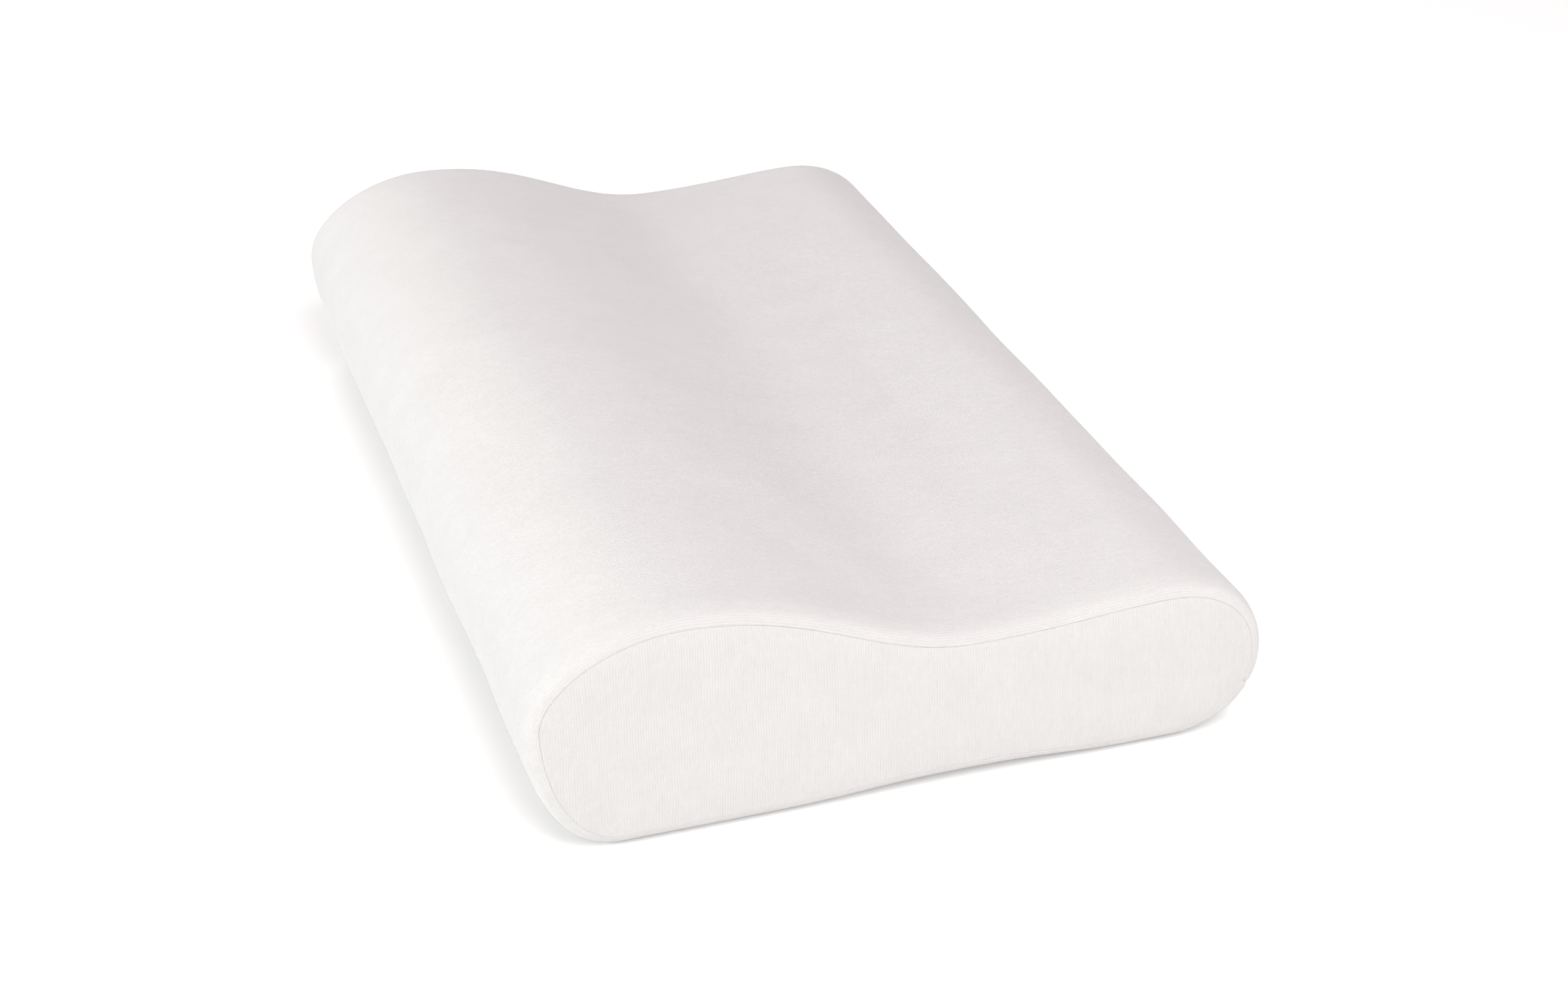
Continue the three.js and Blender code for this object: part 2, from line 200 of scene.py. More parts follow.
def place(around, across, depth=0.0):
    """The point on a layer. around, across and depth are arrays of one shape."""
    around, across, depth = np.broadcast_arrays(around, across, depth)
    side, reach = np.sign(across), np.abs(across)
    angle = np.clip((reach - HALF_WRAP) / EDGE_RADIUS, 0, math.pi / 2)
    radius = EDGE_RADIUS - depth
    inset = EDGE_RADIUS - radius * np.cos(angle)
    point, inward = outline_at(around)
    flat = point + inward * inset[..., None]
    to_middle = np.clip((reach - HALF_WRAP - EDGE_ARC) / FACE_STEP, 0, 1)[..., None]
    flat = flat * (1 - to_middle) + np.array(FACE_MIDDLE) * to_middle
    x = np.where(reach < HALF_WRAP, across, side * (HALF_WRAP + radius * np.sin(angle)))
    return np.concatenate([x[..., None], flat], axis=-1)


def outward(around, across):
    """Outward normals of the surface."""
    return unit(place(around, across) - place(around, across, 0.5 * MM))


def inset_of(spot):
    """How far inside the outline points of an end panel lie."""
    flat = spot[..., 1:].reshape(-1, 2)
    gaps = [OUTLINE_TREE.find((0, y, z))[2] for y, z in flat.tolist()]
    return np.array(gaps).reshape(spot.shape[:-1])


def from_end_seam(around, across):
    """Distance over the cloth from the nearest end seam."""
    around, across = np.broadcast_arrays(around, across)
    distance = np.abs(SEAM_ACROSS - np.abs(across))
    panel = np.abs(across) > SEAM_ACROSS
    distance[panel] = inset_of(place(around[panel], across[panel])) - SEAM_INSET
    return np.maximum(distance, 0)


def panel_settle(around, across):
    """How far an end panel, flat from its seam on, lies inside the rounded edge."""
    reach = np.abs(across)
    angle = np.clip((reach - HALF_WRAP) / EDGE_RADIUS, 0, math.pi / 2)
    rounded = HALF_WRAP + EDGE_RADIUS * np.sin(angle)
    run = from_end_seam(around, across)
    flat = SEAM_X + PANEL_RISE * (1 - np.exp(-run / PANEL_RISE_RUN))
    return np.where(reach > SEAM_ACROSS, flat - rounded, 0)


def nearest_around(y, z):
    """Distance round the outline of its point nearest to (y, z)."""
    gap = np.linalg.norm(OUTLINE - np.array([y, z]), axis=1)
    return float(np.argmin(gap)) * AROUND / len(OUTLINE)


def apart(around, other):
    """Signed distance round the outline from other to around, the short way."""
    return (np.asarray(around) - other + AROUND / 2) % AROUND - AROUND / 2


ZIP_MIDDLE = Vector(FLIP["pos_m"]) - HINGE_HEIGHT * ZIP_OUT
ZIP_AROUND = nearest_around(ZIP_MIDDLE.y, ZIP_MIDDLE.z)


# ---- cloth simulation

SIM_AROUND = 112
SIM_WRAP = 66
START_DEPTH = 2.0 * MM
MOST_MOVE = 5 * MM
LEAST_RISE, MOST_RISE = -0.4 * MM, 2.6 * MM
LEAST_HOLD = 0.12  # a light hold on the whole cover, so that it can't drift
SIM_FRAMES = 20


def smooth_step(value):
    value = np.clip(value, 0, 1)
    return value * value * (3 - 2 * value)


def sim_across():
    """Rows of the simulated cover, from the middle of one end panel to that of the other."""
    wrap = np.linspace(-HALF_WRAP, HALF_WRAP, SIM_WRAP)
    arc = HALF_WRAP + np.linspace(0, EDGE_ARC, 5)[1:]
    face = HALF_WRAP + EDGE_ARC + FACE_STEP * np.linspace(0, 1, 12)[1:]
    side = np.concatenate([arc, face])
    return np.concatenate([-side[::-1], wrap, side])


def held_down(around, across):
    """1 where the cover can't move: at the end seams, the zip and the feet; 0 far from them."""
    seam = 1 - smooth_step((from_end_seam(around, across) - 2 * MM) / (26 * MM))
    zip_line = 1 - smooth_step((np.abs(apart(around, ZIP_AROUND)) - 13 * MM) / (16 * MM))
    height = outline_at(around)[0][..., 1]
    on_face = np.abs(across) > HALF_WRAP + EDGE_ARC
    foot = np.where(on_face, 0, 1 - smooth_step((height - 1 * MM) / (9 * MM)))
    zip_line = np.where(on_face, 0, zip_line)
    return np.maximum.reduce([seam, zip_line, foot])


def cover_swell():
    """How far the sewn cover stands off the plain surface, over a grid of places.

    Blender's cloth swells a closed cover that starts a little inside the outline, held at
    its seams, its feet and the zip, so the panels crown between their seams."""
    across = sim_across()
    around = np.arange(SIM_AROUND) * AROUND / SIM_AROUND
    grid_around, grid_across = grid(around, across)
    held = held_down(grid_around, grid_across)
    plain = place(grid_around, grid_across)
    start = place(grid_around, grid_across, START_DEPTH * (1 - held))
    rows = len(across)
    inner = start[:, 1:-1].reshape(-1, 3)
    points = np.vstack([inner, start[0, 0], start[0, -1]])
    faces = ring_faces(SIM_AROUND, rows - 2)
    poles = len(inner), len(inner) + 1
    for i in range(SIM_AROUND):
        after = (i + 1) % SIM_AROUND
        faces.append((i * (rows - 2), after * (rows - 2), poles[0]))
        faces.append((after * (rows - 2) + rows - 3, i * (rows - 2) + rows - 3, poles[1]))
    mesh = bpy.data.meshes.new("swell")
    mesh.from_pydata(points.tolist(), [], faces)
    body = in_scene(bpy.data.objects.new("swell", mesh))
    pins = body.vertex_groups.new(name="held")
    weights = np.append(held[:, 1:-1].reshape(-1), [0, 0])
    for index, weight in enumerate(weights):
        pins.add([index], float(LEAST_HOLD + (1 - LEAST_HOLD) * weight), "REPLACE")
    swollen = run_cloth(body, points)
    bpy.data.objects.remove(body)
    bpy.data.meshes.remove(mesh)
    field = np.zeros_like(plain)
    field[:, 1:-1] = swollen[:-2].reshape(SIM_AROUND, rows - 2, 3)
    field[:, 0], field[:, -1] = swollen[-2], swollen[-1]
    rise = ((field - plain) * outward(grid_around, grid_across)).sum(axis=-1)
    on_face = np.abs(grid_across) > HALF_WRAP + EDGE_ARC
    rise = evened(rise, 4)
    rise = np.where(on_face, evened(rise, 12), rise)
    return np.clip(rise, LEAST_RISE, MOST_RISE) * (1 - held), across


def evened(field, times):
    """A field over the simulated grid with its short waves smoothed out."""
    for _ in range(times):
        field = (np.roll(field, 1, axis=0) + 2 * field + np.roll(field, -1, axis=0)) / 4
        padded = np.pad(field, ((0, 0), (1, 1)), "edge")
        field = (padded[:, :-2] + 2 * padded[:, 1:-1] + padded[:, 2:]) / 4
    return field


def run_cloth(body, points):
    """Runs the cloth on a closed body and gives its points, none moved past the cap."""
    scene = bpy.context.scene
    cloth = body.modifiers.new("Cloth", "CLOTH")
    settings = cloth.settings
    settings.quality = 6
    settings.mass = 0.3
    settings.tension_stiffness = settings.compression_stiffness = 25
    settings.shear_stiffness = 12
    settings.bending_stiffness = 4
    settings.use_pressure = True
    settings.uniform_pressure_force = 4
    settings.vertex_group_mass = "held"
    settings.pin_stiffness = 1
    settings.effector_weights.gravity = 0
    cloth.collision_settings.use_self_collision = False
    scene.frame_start, scene.frame_end = 1, SIM_FRAMES
    for number in range(1, SIM_FRAMES + 1):
        scene.frame_set(number)
    evaluated = body.evaluated_get(bpy.context.evaluated_depsgraph_get())
    after = np.empty(len(points) * 3)
    evaluated.data.vertices.foreach_get("co", after)
    move = after.reshape(-1, 3) - points
    length = np.linalg.norm(move, axis=1, keepdims=True)
    move *= np.minimum(1, MOST_MOVE / np.maximum(length, 1e-9))
    scene.frame_set(1)
    return points + move


def ring_faces(columns, rows):
    """Quads of a grid of columns by rows, whose columns close on themselves."""
    faces = []
    for i in range(columns):
        here, there = i * rows, ((i + 1) % columns) * rows
        faces += [(here + j, there + j, there + j + 1, here + j + 1) for j in range(rows - 1)]
    return faces


def cubic_weights(part):
    square, cube = part**2, part**3
    return (
        -0.5 * part + square - 0.5 * cube,
        1 - 2.5 * square + 1.5 * cube,
        0.5 * part + 2 * square - 1.5 * cube,
        -0.5 * square + 0.5 * cube,
    )


def swell_at(around, across):
    """The simulated rise at any place, by smooth interpolation of the simulated grid."""
    around, across = np.broadcast_arrays(around, across)
    column = (around / AROUND * SIM_AROUND) % SIM_AROUND
    row = np.interp(across, SWELL_ACROSS, np.arange(len(SWELL_ACROSS)))
    low_column = np.floor(column).astype(int)
    low_row = np.minimum(np.floor(row).astype(int), len(SWELL_ACROSS) - 2)
    column_weights = cubic_weights(column - low_column)
    row_weights = cubic_weights(row - low_row)
    offset = np.zeros(around.shape)
    for a in range(4):
        for b in range(4):
            at_row = np.clip(low_row + b - 1, 0, len(SWELL_ACROSS) - 1)
            value = SWELL[(low_column + a - 1) % SIM_AROUND, at_row]
            offset += column_weights[a] * row_weights[b] * value
    return offset


SWELL, SWELL_ACROSS = cover_swell()


# ---- fine relief of the cloth


def waves(around, across, seed, count, lengths_around, lengths_across):
    """A smooth random relief, about -1 to 1, of plane waves that close round the outline."""
    random = np.random.RandomState(seed)
    total = np.zeros(np.broadcast(around, across).shape)
    for _ in range(count):
        turns = max(1, round(AROUND / random.uniform(*lengths_around)))
        turns *= random.choice((-1, 1))
        rate = TURN / random.uniform(*lengths_across)
        total += np.sin(turns * TURN * around / AROUND + rate * across + random.uniform(0, TURN))
    return total / math.sqrt(count / 2) / 1.6


def plane_waves(y, z, seed, count, lengths):
    """A smooth random relief over an end panel, about -1 to 1."""
    random = np.random.RandomState(seed)
    total = np.zeros(np.shape(y))
    for _ in range(count):
        heading, rate = random.uniform(0, TURN), TURN / random.uniform(*lengths)
        run = y * math.cos(heading) + z * math.sin(heading)
        total += np.sin(rate * run + random.uniform(0, TURN))
    return total / math.sqrt(count / 2) / 1.6


def relief(around, across):
    """How far the cloth stands proud of the simulated surface, in metres."""
    free = 1 - held_down(around, across)
    from_seam = from_end_seam(around, across)
    on_wrap = np.abs(across) < SEAM_ACROSS
    spot = place(around, across)
    soft = waves(around, across, 3, 14, (80 * MM, 260 * MM), (70 * MM, 220 * MM))
    panel = plane_waves(spot[..., 1], spot[..., 2], 4, 10, (60 * MM, 140 * MM))
    drawn = waves(around, across, 5, 16, (110 * MM, 330 * MM), (9 * MM, 21 * MM))
    pucker = waves(around, across, 7, 12, (7 * MM, 15 * MM), (60 * MM, 120 * MM))
    drawn_share = 0.25 + 0.75 * np.exp(-from_seam / (55 * MM))
    allowance = (0.9 * MM * hump(from_seam - 4.2 * MM, 2.9 * MM)
                 - 0.35 * MM * hump(from_seam - 13 * MM, 5.5 * MM))
    above_floor = smooth_step((spot[..., 2] - 1 * MM) / (12 * MM))
    wrap_relief = 0.3 * MM * soft + 0.05 * MM * drawn * drawn_share
    return (
        allowance * on_wrap * above_floor
        + free * np.where(on_wrap, wrap_relief, 0.3 * MM * panel)
        + 0.06 * MM * pucker * np.exp(-from_seam / (5 * MM))
    )


def rolled_edge(distance, width, sink):
    """Depth of a cloth edge that rolls under: 0 at width from the edge, sink at the edge."""
    inwards = np.clip(1 - distance / width, 0, 1)
    return sink * (1 - np.sqrt(1 - inwards**2))


def cloth_point(around, across, depth, follow=1.0):
    """A point of a layer on the swollen cover. follow is how much of the swell it takes."""
    around, across = np.broadcast_arrays(around, across)
    lift = follow * (swell_at(around, across) + relief(around, across))
    point = place(around, across, depth) + outward(around, across) * lift[..., None]
    point[..., 0] += np.sign(across) * panel_settle(around, across)
    return point


# ---- meshes


def new_piece(node, suffix, slot, points, faces, uv=None, body="pillow"):
    """A smooth mesh that stands for a CAD node, without the points that no face uses."""
    used = sorted({corner for face in faces for corner in face})
    number = {old: new for new, old in enumerate(used)}
    faces = [tuple(number[corner] for corner in face) for face in faces]
    mesh = bpy.data.meshes.new(f"{node}_{suffix}")
    mesh.from_pydata(points[used].tolist(), [], faces)
    mesh.update()
    if uv is not None:
        layer = mesh.uv_layers.new(name=CLOTH_MAP)
        corners = np.empty(len(mesh.loops), int)
        mesh.loops.foreach_get("vertex_index", corners)
        spread_out = uv[used][corners]
        closing_strip(mesh, spread_out)
        layer.data.foreach_set("uv", spread_out.astype(np.float32).ravel())
    mesh.polygons.foreach_set("use_smooth", [True] * len(mesh.polygons))
    piece = in_scene(bpy.data.objects.new(mesh.name, mesh))
    mesh.materials.append(MATERIALS[slot])
    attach(piece, body)
    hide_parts(node)
    return piece


def closing_strip(mesh, uv):
    """Where a face closes the ring, moves its corners on the start line one turn on."""
    for face in mesh.polygons:
        corners = slice(face.loop_start, face.loop_start + face.loop_total)
        turn = uv[corners, 1]
        if turn.max() - turn.min() > AROUND / 2:
            turn[turn < turn.max() - AROUND / 2] += AROUND


def spread(start, end, step):
    """Even numbers from start to end, both included, about step apart."""
    return np.linspace(start, end, max(2, round(abs(end - start) / step) + 1))


def fine_around():
    """Distances round the outline from the zip's middle, close together at its slot."""
    near = np.array([0, 0.15, 0.45, 0.9, 1.4, 1.9, 2.2, 2.5, 3.1, 4.2]) * MM + SLOT_EDGE
    start = np.concatenate([[0, 0.6 * MM, 2 * MM], near])
    rest = spread(start[-1], AROUND - start[-1], 2.2 * MM)[1:-1]
    return ZIP_AROUND + np.concatenate([start, rest, AROUND - start[:0:-1]])


def fine_across():
    """Rows of the wrap from end seam to end seam, close together at the seams and the slot."""
    side = SEAM_ACROSS - SEAM_CLEAR - SEAM_ROWS
    middle = spread(-SLOT_HALF, SLOT_HALF, 2.9 * MM)
    near_slot = np.array([SLOT_HALF + d * MM for d in (0.5, 1.2)])
    half = np.concatenate([near_slot, side[side > SLOT_HALF + 2 * MM][::-1]])
    return np.concatenate([-half[::-1], middle, half])


def wrap_depth(around, across):
    """Depth of the wrap's outer face where it rolls under at a seam, the slot or a stitch line."""
    from_zip = np.abs(apart(around, ZIP_AROUND))
    beyond_slot = np.abs(across) > SLOT_HALF + 0.1 * MM
    at_seam = rolled_edge(SEAM_ACROSS - np.abs(across), SEAM_LIP, SEAM_SINK)
    slot_lip = rolled_edge(from_zip - SLOT_EDGE, 1.1 * MM, 0.9 * MM)
    stitched = 0.35 * MM * hump(from_zip - STITCH_OFFSET, 0.55 * MM)
    at_slot = np.where(beyond_slot, 0, np.maximum(slot_lip, stitched))
    closing = 0.8 * MM * hump(from_zip, 0.7 * MM) * beyond_slot
    return np.maximum.reduce([at_seam, at_slot, closing])


def shell(columns, rows, closed, hole=lambda i, j: False):
    """Faces of a two-layer grid: outer quads, inner quads, and walls at every free edge."""
    count = columns * rows
    last = columns if closed else columns - 1
    kept = {(i, j) for i in range(last) for j in range(rows - 1) if not hole(i, j)}
    faces = []
    for i, j in sorted(kept):
        here, there = i * rows + j, ((i + 1) % columns) * rows + j
        faces.append((here, there, there + 1, here + 1))
        faces.append((here + count + 1, there + count + 1, there + count, here + count))
        sides = {
            (i, j - 1): (here, there),
            (i, j + 1): (there + 1, here + 1),
            ((i - 1) % columns if closed else i - 1, j): (here + 1, here),
            ((i + 1) % columns if closed else i + 1, j): (there, there + 1),
        }
        for beside, (a, b) in sides.items():
            if beside not in kept:
                faces.append((b, a, a + count, b + count))
    return faces


def layers(grid_around, grid_across, depths, follow=1.0):
    """The points of a sheet's outer face, then those of its inner face."""
    faces = [cloth_point(grid_around, grid_across, depth, follow) for depth in depths]
    return np.concatenate([face.reshape(-1, 3) for face in faces])


def cover_depths(sink):
    return sink, np.maximum(COVER_THICKNESS, sink + 0.45 * MM)


def flat_map(grid_around, grid_across):
    """The cloth's map: a grid's places on the flat cloth, in metres."""
    return np.stack([grid_across, grid_around], axis=-1).reshape(-1, 2)


def make_wrap():
    around, across = fine_around(), fine_across()
    grid_around, grid_across = grid(around, across)
    sink = wrap_depth(grid_around, grid_across)
    points = layers(grid_around, grid_across, cover_depths(sink))
    following = np.append(around[1:], around[0] + AROUND)
    middle_around = apart((around + following) / 2, ZIP_AROUND)
    middle_across = (across[1:] + across[:-1]) / 2

    def in_slot(i, j):
        return abs(middle_around[i]) < SLOT_EDGE and abs(middle_across[j]) < SLOT_HALF

    faces = shell(len(around), len(across), True, in_slot)
    uv = np.tile(flat_map(grid_around, grid_across), (2, 1))
    wrap = new_piece("cover_wrap", "cloth", "cover_knit", points, faces, uv)


def closed_up(faces, rings):
    """The faces of a grid after each ring of its points has become the ring's first point."""
    joins = {corner: ring[0] for ring in rings for corner in ring}
    merged = [tuple(dict.fromkeys(joins.get(corner, corner) for corner in face))
              for face in faces]
    return [face for face in merged if len(face) > 2]


def end_panel(node, suffix, slot, columns, across, points):
    """A sheet inside an end seam, from its seam row to one point in its middle."""
    rows = len(across)
    count = columns * rows
    rings = [range(start, start + count, rows) for start in (rows - 1, rows - 1 + count)]
    for ring in rings:
        points[ring[0]] = points[list(ring)].mean(axis=0)
    faces = closed_up(shell(columns, rows, True), rings)
    if across[0] < 0:
        faces = [face[::-1] for face in faces]
    panel = new_piece(node, suffix, slot, points, faces, points[:, 1:3])


def make_cover_end(name, side):
    around = np.arange(360) * AROUND / 360
    rim = SEAM_ACROSS + SEAM_CLEAR + SEAM_ROWS
    rim = rim[rim < HALF_WRAP + EDGE_ARC]
    face = HALF_WRAP + EDGE_ARC + FACE_STEP * np.array([*np.linspace(0, 0.93, 34), 1])
    across = side * np.concatenate([rim, face])
    grid_around, grid_across = grid(around, across)
    sink = rolled_edge(np.abs(grid_across) - SEAM_ACROSS, SEAM_LIP, SEAM_SINK)
    points = layers(grid_around, grid_across, cover_depths(sink))
    end_panel(f"cover_end_{name}", "cloth", "cover_knit", len(around), across, points)


def make_foam(around):
    arc = HALF_WRAP + np.linspace(0, EDGE_ARC, 6)[1:]
    face = HALF_WRAP + EDGE_ARC + FACE_STEP * np.linspace(0, 1, 10)[1:]
    side = np.concatenate([arc, face])
    across = np.concatenate([-side[::-1], spread(-HALF_WRAP, HALF_WRAP, 7 * MM), side])
    grid_around, grid_across = grid(around, across)
    grain = waves(grid_around, grid_across, 11, 20, (9 * MM, 24 * MM), (9 * MM, 24 * MM))
    depth = FOAM_DEPTH + 0.12 * MM * (1 + grain)
    points = cloth_point(grid_around, grid_across, depth, INNER_FOLLOW).reshape(-1, 3)
    rows = len(across)
    rings = [range(start, start + len(points), rows) for start in (0, rows - 1)]
    faces = closed_up(ring_faces(len(around), rows), rings)
    uv = flat_map(grid_around, grid_across)
    foam = new_piece("foam_core", "block", "foam", points, faces, uv)


def make_liner(around):
    rows = np.concatenate([[-LINER_SEAM, -LINER_SEAM + 3 * MM],
                           spread(-HALF_WRAP, HALF_WRAP, 7 * MM),
                           [LINER_SEAM - 3 * MM, LINER_SEAM]])
    grid_around, grid_across = grid(around, rows)
    points = layers(grid_around, grid_across, LINER_DEPTHS, INNER_FOLLOW)
    uv = np.tile(flat_map(grid_around, grid_across), (2, 1))
    sleeve = new_piece("liner_sleeve", "knit", "liner_knit", points,
                       shell(len(around), len(rows), True), uv)
    for name, side in ENDS:
        face = HALF_WRAP + EDGE_ARC + FACE_STEP * np.linspace(0, 1, 12)
        rows = side * np.concatenate([[LINER_SEAM + 0.3 * MM, LINER_SEAM + 3 * MM], face])
        points = layers(*grid(around, rows), LINER_DEPTHS, INNER_FOLLOW)
        end_panel(f"liner_end_{name}", "knit", "liner_knit", len(around), rows, points)


# ---- tubes, threads and stitches


def ring_walls(rings, sides, closed=False):
    """Quads between rings of points that follow each other, with flat caps unless closed."""
    faces = []
    for i in range(rings if closed else rings - 1):
        here, there = i * sides, ((i + 1) % rings) * sides
        for k in range(sides):
            after = (k + 1) % sides
            faces.append((here + k, here + after, there + after, there + k))
    if not closed:
        faces.append(tuple(range(sides))[::-1])
        faces.append(tuple((rings - 1) * sides + k for k in range(sides)))
    return faces


def tube(path, radii, sides=8, closed=False, squeeze=(1, 1), up=ZIP_OUT):
    """Points and faces of a tube along a path, with flat ends unless it is closed."""
    path = np.asarray(path, float)
    radii = np.broadcast_to(radii, len(path))
    if closed:
        along = unit(np.roll(path, -1, axis=0) - np.roll(path, 1, axis=0))
    else:
        along = unit(np.gradient(path, axis=0))
    across = unit(np.cross(along, np.array(up, float)))
    lift = np.cross(across, along)
    angles = np.arange(sides) * TURN / sides
    offsets = (
        across[:, None] * (np.cos(angles) * squeeze[0])[None, :, None]
        + lift[:, None] * (np.sin(angles) * squeeze[1])[None, :, None]
    )
    points = (path[:, None] + offsets * radii[:, None, None]).reshape(-1, 3)
    return points, ring_walls(len(path), sides, closed)


def joined(parts):
    """Many bodies as one list of points and faces."""
    points, faces, start = [], [], 0
    for body_points, body_faces in parts:
        points.append(body_points)
        faces += [tuple(corner + start for corner in face) for face in body_faces]
        start += len(body_points)
    return np.vstack(points), faces


def make_end_seam(name, side):
    """Lockstitch thread at the bottom of an end seam's groove."""
    count = round(AROUND / (2.8 * MM))
    around = np.arange(count * 4) * AROUND / (count * 4)
    beat = np.abs(np.sin(math.pi * around / AROUND * count))
    path = cloth_point(around, side * SEAM_ACROSS, 0.72 * MM - 0.15 * MM * beat)
    radii = 0.32 * MM * (0.55 + 0.45 * beat)
    thread = tube(path, radii, closed=True, up=(1, 0, 0))
    new_piece(f"end_seam_{name}", "thread", "seam_thread", *thread)


def make_tapes():
    """The zip's woven tapes, behind the slot's edges: thin strips with soft selvedges."""
    low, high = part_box("zip_tape_upper")
    along = spread(low[0], high[0], 2.4 * MM)
    out = ROW_INNER + np.array([0.02, 0.06, 0.16, 0.35, 0.7, 1.2, 1.6, 2, 2.6, 3.4, 4.6, 6.2, 8.2,
                                10, 11.4, 12, 12.2, 12.33, 12.4, 12.43]) * MM
    grid_out, grid_along = grid(out, along)
    edge = np.minimum(grid_out - out[0], out[-1] - grid_out)
    sink = rolled_edge(edge, 0.35 * MM, 0.26 * MM)
    cord = 0.12 * MM * hump(grid_out - ROW_INNER - 1.6 * MM, 0.5 * MM)
    depths = TAPE_DEPTHS[0] + sink - cord, TAPE_DEPTHS[1] - 0.3 * sink
    for name, sign in SIDES:
        around = ZIP_AROUND + sign * grid_out
        points = np.vstack([place(around, grid_along, depth).reshape(-1, 3) for depth in depths])
        faces = [face[::sign] for face in shell(len(out), len(along), False)]
        tape = new_piece(f"zip_tape_{name}", "weave", "zip_tape", points, faces)


def make_stitch_rows():
    """Topstitching: one lockstitch after another, each sunk at both ends."""
    stitch, gap = 3.0 * MM, 0.5 * MM
    share = np.linspace(0, 1, 7)
    dip = np.abs(2 * share - 1) ** 3
    for name, sign in SIDES:
        line = ZIP_AROUND + sign * STITCH_OFFSET
        parts = [
            tube(place(line, start + stitch * share, 0.45 * MM * dip - 0.14 * MM),
                 0.24 * MM * (1 - 0.6 * dip), sides=6)
            for start in np.arange(-SLOT_HALF, SLOT_HALF - stitch, stitch + gap)
        ]
        new_piece(f"zip_stitch_{name}", "thread", "seam_thread", *joined(parts))


def make_bar_tacks():
    """Dense zigzag stitches across each end of the slot."""
    turns = 15
    share = np.linspace(0, 1, turns * 6 + 1)
    swing = np.arcsin(np.sin(share * turns * math.pi)) * 2 / math.pi
    around = ZIP_AROUND + (2 * share - 1) * (SLOT_EDGE + 1 * MM)
    for name, sign in ENDS:
        across = sign * (SLOT_HALF + 1.6 * MM) + 0.75 * MM * swing
        thread = tube(place(around, across, -0.22 * MM), 0.26 * MM, sides=6)
        new_piece(f"zip_bar_tack_{name}", "thread", "seam_thread", *thread)


# ---- zip

COIL_PITCH, COIL_WIRE = 1.5 * MM, 0.29 * MM
COIL_TURN = [
    # share of the pitch, distance from the zip's middle and height, in mm
    (0.00, 2.45, -1.45), (0.02, 2.1, -1.5), (0.1, 1.2, -1.5), (0.18, 0.75, -1.4),
    (0.24, 0.6, -1.1), (0.3, 0.75, -0.8), (0.38, 1.2, -0.72), (0.5, 2.1, -0.75),
    (0.62, 2.4, -0.95), (0.7, 2.45, -1.3),
]
COIL_HEAD = np.array([1, 1, 1, 1.12, 1.25, 1.12, 1, 1, 1, 1])
PULL_HALF = 0.45 * MM


def zip_matrix(x=0.0):
    """The zip's frame: X along it, Y across it towards the floor, Z outwards."""
    columns = (Vector((1, 0, 0)), -ZIP_UP, ZIP_OUT)
    matrix = Matrix([[column[i] for column in columns] for i in range(3)]).to_4x4()
    matrix.translation = Vector((x, ZIP_MIDDLE.y, ZIP_MIDDLE.z))
    return matrix


def moved(matrix, points):
    return np.array([matrix @ Vector(point) for point in points])


def make_teeth():
    """Two nylon coils. Each turn has an upper leg, a head at the middle and a lower leg."""
    low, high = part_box("zip_coil_upper")
    matrix = zip_matrix()
    for name, side in SIDES:
        shift = 0 if side > 0 else COIL_PITCH / 2
        parts = []
        for x in np.arange(low[0] + 1 * MM, high[0] - 1.4 * MM, COIL_PITCH):
            turn = [(x + shift + lead * COIL_PITCH, -side * out * MM, height * MM)
                    for lead, out, height in COIL_TURN]
            parts.append(tube(moved(matrix, turn), COIL_HEAD * COIL_WIRE, sides=6, up=(1, 0, 0)))
        new_piece(f"zip_coil_{name}", "turns", "zip_nylon", *joined(parts))


def mirrored(half):
    """An anticlockwise outline in metres, from its upper half's points in mm."""
    below = [(x, -y) for x, y in half if y > 0]
    return np.array(below + half[::-1]) * MM


def rounded_outline(corners, radius, steps=5):
    """An anticlockwise outline with its corners rounded by arcs."""
    corners = [np.array(corner, float) for corner in corners]
    points = []
    for i, corner in enumerate(corners):
        to_last = corners[i - 1] - corner
        to_next = corners[(i + 1) % len(corners)] - corner
        reach = min(radius, 0.49 * np.linalg.norm(to_last), 0.49 * np.linalg.norm(to_next))
        start, end = corner + unit(to_last) * reach, corner + unit(to_next) * reach
        for t in np.linspace(0, 1, steps):
            points.append((1 - t) ** 2 * start + 2 * t * (1 - t) * corner + t**2 * end)
    return np.array(points)


def lofted_plate(outline, low, high, bevel, matrix):
    """A plate between two heights, with edges rounded by inset copies of its outline."""
    along = unit(np.roll(outline, -1, axis=0) - np.roll(outline, 1, axis=0))
    inward = np.stack([-along[:, 1], along[:, 0]], axis=1)
    angles = np.linspace(0, math.pi / 2, 5)
    edge = [(bevel * (1 - math.sin(a)), bevel * (1 - math.cos(a))) for a in angles]
    levels = [(low + rise, inset) for rise, inset in edge[::-1]]
    levels += [(high - rise, inset) for rise, inset in edge]
    rings = [np.column_stack([outline + inward * inset, np.full(len(outline), height)])
             for height, inset in levels]
    return moved(matrix, np.vstack(rings)), ring_walls(len(levels), len(outline))


